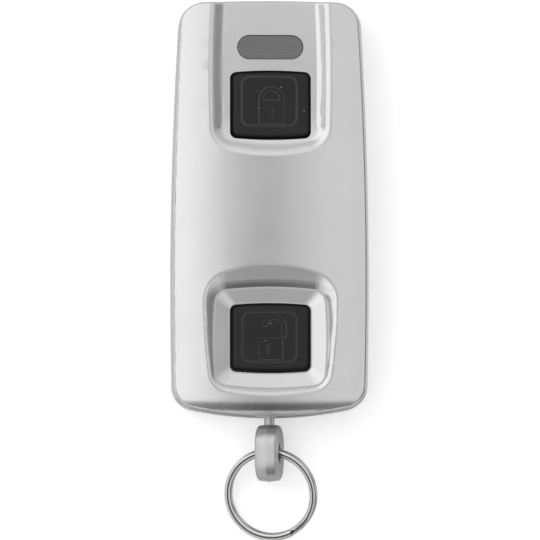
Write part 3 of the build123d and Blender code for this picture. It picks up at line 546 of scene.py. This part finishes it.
def makeButton(node, name, body, marks):
    button = workingCopy(node, name)
    narrowCap(button, node)
    top = topOf(button)
    rise = marks["rise"]
    border = flatPlate(marks["borderCentre"], marks["border"], marks["borderCorner"])
    applyMark(button, top, bandOf(border, marks["borderWidth"]), 0, rise, marks["flank"])
    lockBody = flatPlate(marks["bodyCentre"], marks["body"], marks["bodyCorner"])
    applyMark(button, top, lockBody, 0, rise, marks["flank"])
    bow = flatBow(marks["bowCentre"], marks["bowRadius"], marks["bowWidth"], marks["bowLegs"])
    applyMark(button, top, bow, 0, rise, marks["flank"])
    keyholeCorner = marks["keyhole"][0] / 3
    keyhole = flatPlate(marks["keyholeCentre"], marks["keyhole"], keyholeCorner)
    applyMark(button, top, keyhole, rise, -rise, marks["keyholeFlank"])
    smoothMarked(button)
    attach(button, body)


makeButton("lock_button", "lockButtonTop", "lock_press", lockMarks)
makeButton("unlock_button", "unlockButtonTop", "unlock_press", unlockMarks)
print("buttons made")

# Window: a shallow bare panel inside its edge
windowMarks = {"panel": (10.6, 2.7), "corner": 1.29, "depth": 0.05, "flank": 0.08}


def makeWindow():
    window = workingCopy("indicator_window", "windowLens")
    panel = flatPlate((0, 0), windowMarks["panel"], windowMarks["corner"])
    applyMark(window, topOf(window), panel, 0, -windowMarks["depth"], windowMarks["flank"])
    smoothMarked(window)
    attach(window, "case")


makeWindow()
print("window made")

# Swivel eye: the CAD eye, thinned about its own middle to the width that it shows, its stem left as it is.
# It is turned about its stem, so it is turned back for the thinning
eyeShape = {"turned": 12, "thinner": 0.82, "stemEnd": -40.6, "middle": (0, -46.75, 5.45)}


def turnAbout(piece, middle, degrees):
    place = Matrix.Translation(middle)
    piece.matrix_world = place @ Matrix.Rotation(math.radians(degrees), 4, "Y") @ place.inverted()
    applyTransforms(piece)


def makeEye():
    eye = workingCopy("swivel_eye", "swivelEyeBody")
    middle = Vector(eyeShape["middle"]) * mm
    turnAbout(eye, middle, eyeShape["turned"])
    startEdit(eye)
    selectWhere(eye, "FACE", lambda face: all(v.co.y < eyeShape["stemEnd"] * mm for v in face.verts))
    bpy.ops.transform.resize(value=(eyeShape["thinner"], 1, 1), center_override=middle)
    endEdit()
    turnAbout(eye, middle, -eyeShape["turned"])
    smoothByAngle(eye, working["smoothAngle"])
    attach(eye, "swivel")


makeEye()
print("eye made")

# Split ring: the CAD ring with its sharp edges rolled round, as drawn wire has
ringShape = {"edge": 0.17, "steps": 3, "sharpFrom": 35, "smoothAngle": 50}


def makeRing():
    ring = workingCopy("split_ring", "keyRing")
    applyModifier(
        ring, "rolledEdge", "BEVEL", width=ringShape["edge"] * mm, segments=ringShape["steps"],
        limit_method="ANGLE", angle_limit=math.radians(ringShape["sharpFrom"]),
    )
    smoothByAngle(ring, ringShape["smoothAngle"])
    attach(ring, "ring")


makeRing()
print("ring made")

# Camera, as in the photograph: nearly straight down, a little from the ring end and the left, in degrees
view = {
    "frameWidth": 103.43 * mm, "target": Vector((0.06, -11.76, 8)) * mm, "fromRing": 3.2, "fromLeft": 1.7,
    "distance": 1.1, "sensor": 36, "nearest": 0.05, "farthest": 10,
}


def makeCamera():
    data = bpy.data.cameras.new("photoCamera")
    camera = bpy.data.objects.new("photoCamera", data)
    bpy.context.scene.collection.objects.link(camera)
    toLeft, toRing = (-math.tan(math.radians(view[way])) for way in ("fromLeft", "fromRing"))
    back = Vector((toLeft, toRing, 1)).normalized()
    side = Vector((0, 1, 0)).cross(back).normalized()
    turn = Matrix((side, back.cross(side), back)).transposed().to_4x4()
    camera.matrix_world = Matrix.Translation(view["target"] + back * view["distance"]) @ turn
    data.sensor_width = view["sensor"]
    data.lens = view["sensor"] * view["distance"] / view["frameWidth"]
    data.clip_start = view["nearest"]
    data.clip_end = view["farthest"]
    bpy.context.scene.camera = camera


makeCamera()
print("camera made")

# Studio: a pale floor that camera rays see a little brighter, a surround, and soft panels for the shadows
floorLook = {"size": 3.0, "gap": 0.02 * mm, "colour": grey(0.86), "rough": 0.9, "lift": 0.45}
# Brightness of each part of the surround by how far a direction points right, from -1 to 1. The narrow dark and
# bright stretches are what the crown, the channel and the dish reflect
surround = {
    "middle": [
        (-1.0, 0.9), (-0.9, 1.1), (-0.86, 1.4), (-0.83, 0.15), (-0.69, 0.15), (-0.65, 1.5), (-0.56, 1.45),
        (-0.47, 1.0), (-0.37, 1.08), (-0.28, 1.5), (-0.21, 1.5), (-0.15, 1.0), (-0.08, 0.58), (-0.04, 0.37),
        (0.0, 0.28), (0.04, 0.33), (0.09, 0.6), (0.14, 0.9), (0.25, 1.0), (0.34, 0.75), (0.45, 0.5),
        (0.6, 0.3), (0.8, 0.2), (0.92, 0.25), (1.0, 1.2),
    ],
    "far": [(-0.6, 1.3), (-0.2, 1.3), (-0.1, 1.1), (0.0, 0.95), (0.2, 0.85), (0.6, 0.65), (1.0, 0.55)],
    "beyond": [(-0.6, 0.8), (0.0, 0.7), (0.6, 0.6)],
    "near": [
        (-0.7, 0.6), (-0.3, 0.7), (-0.15, 0.26), (0.0, 0.03), (0.1, 0.03), (0.22, 0.3), (0.4, 0.5), (0.7, 0.4),
    ],
}
# Where the other parts take over from the middle, by how far a direction points away
takeOver = {"far": (0.12, 0.4), "beyond": (0.6, 0.85), "near": (-0.3, -0.8)}
# The ramps hold this share of each brightness, since a ramp ends at 1
rampShare = 0.5
panels = {
    "keyPanel": {"centre": (-0.4, 0.2, 0.6), "size": (0.4, 0.5), "power": 0.6},
    "fillPanel": {"centre": (0.4, 0.1, 0.65), "size": (0.4, 0.5), "power": 0.3},
}


def makePanel(name, panel):
    data = bpy.data.lights.new(name, "AREA")
    data.shape = "RECTANGLE"
    data.size, data.size_y = panel["size"]
    data.energy = panel["power"]
    lamp = bpy.data.objects.new(name, data)
    bpy.context.scene.collection.objects.link(lamp)
    lamp.location = panel["centre"]
    lamp.rotation_euler = Vector(panel["centre"]).to_track_quat("Z", "Y").to_euler()
    lamp.visible_glossy = False


def makeFloor():
    selectNone()
    bpy.ops.mesh.primitive_plane_add(size=floorLook["size"], location=(0, 0, -floorLook["gap"]))
    floor = bpy.context.object
    floor.name = "floor"
    applyTransforms(floor)
    material, tree, shader = newMaterial("paleFloor")
    cameraRay = addNode(tree, "LightPath", {}).outputs["Is Camera Ray"]
    lift = addNode(tree, "Math", {0: cameraRay, 1: floorLook["lift"]}, operation="MULTIPLY")
    feed(tree, shader, {
        "Base Color": floorLook["colour"], "Roughness": floorLook["rough"], "Emission Color": grey(1),
        "Emission Strength": lift.outputs[0],
    })
    floor.data.materials.append(material)


# The surround lights the pieces and shows in them, and camera rays see white in its place
def makeWorld():
    world = bpy.data.worlds.new("studioWorld")
    bpy.context.scene.world = world
    world.use_nodes = True
    tree = world.node_tree
    direction = addNode(tree, "TexCoord", {}).outputs["Generated"]
    toward = addNode(tree, "SeparateXYZ", {0: direction}).outputs
    rampPlace = addNode(tree, "Math", {0: toward["X"], 1: 0.5, 2: 0.5}, operation="MULTIPLY_ADD").outputs[0]
    parts = {}
    for part, stops in surround.items():
        rampStops = [((place + 1) / 2, value * rampShare) for place, value in stops]
        parts[part] = greyRamp(tree, rampPlace, rampStops, "EASE")
    light = parts["middle"]
    for part, (start, end) in takeOver.items():
        share = addNode(
            tree, "MapRange", {"Value": toward["Y"], "From Min": start, "From Max": end},
            interpolation_type="SMOOTHSTEP",
        )
        light = mixColours(tree, share.outputs["Result"], light, parts[part])
    whole = addNode(tree, "VectorMath", {0: light, "Scale": 1 / rampShare}, operation="SCALE").outputs[0]
    cameraRay = addNode(tree, "LightPath", {}).outputs["Is Camera Ray"]
    feed(tree, tree.nodes["Background"], {"Color": mixColours(tree, cameraRay, whole, grey(1))})


for panelName, panel in panels.items():
    makePanel(panelName, panel)
makeFloor()
makeWorld()
bpy.context.scene.view_settings.view_transform = "Standard"
print("studio made")
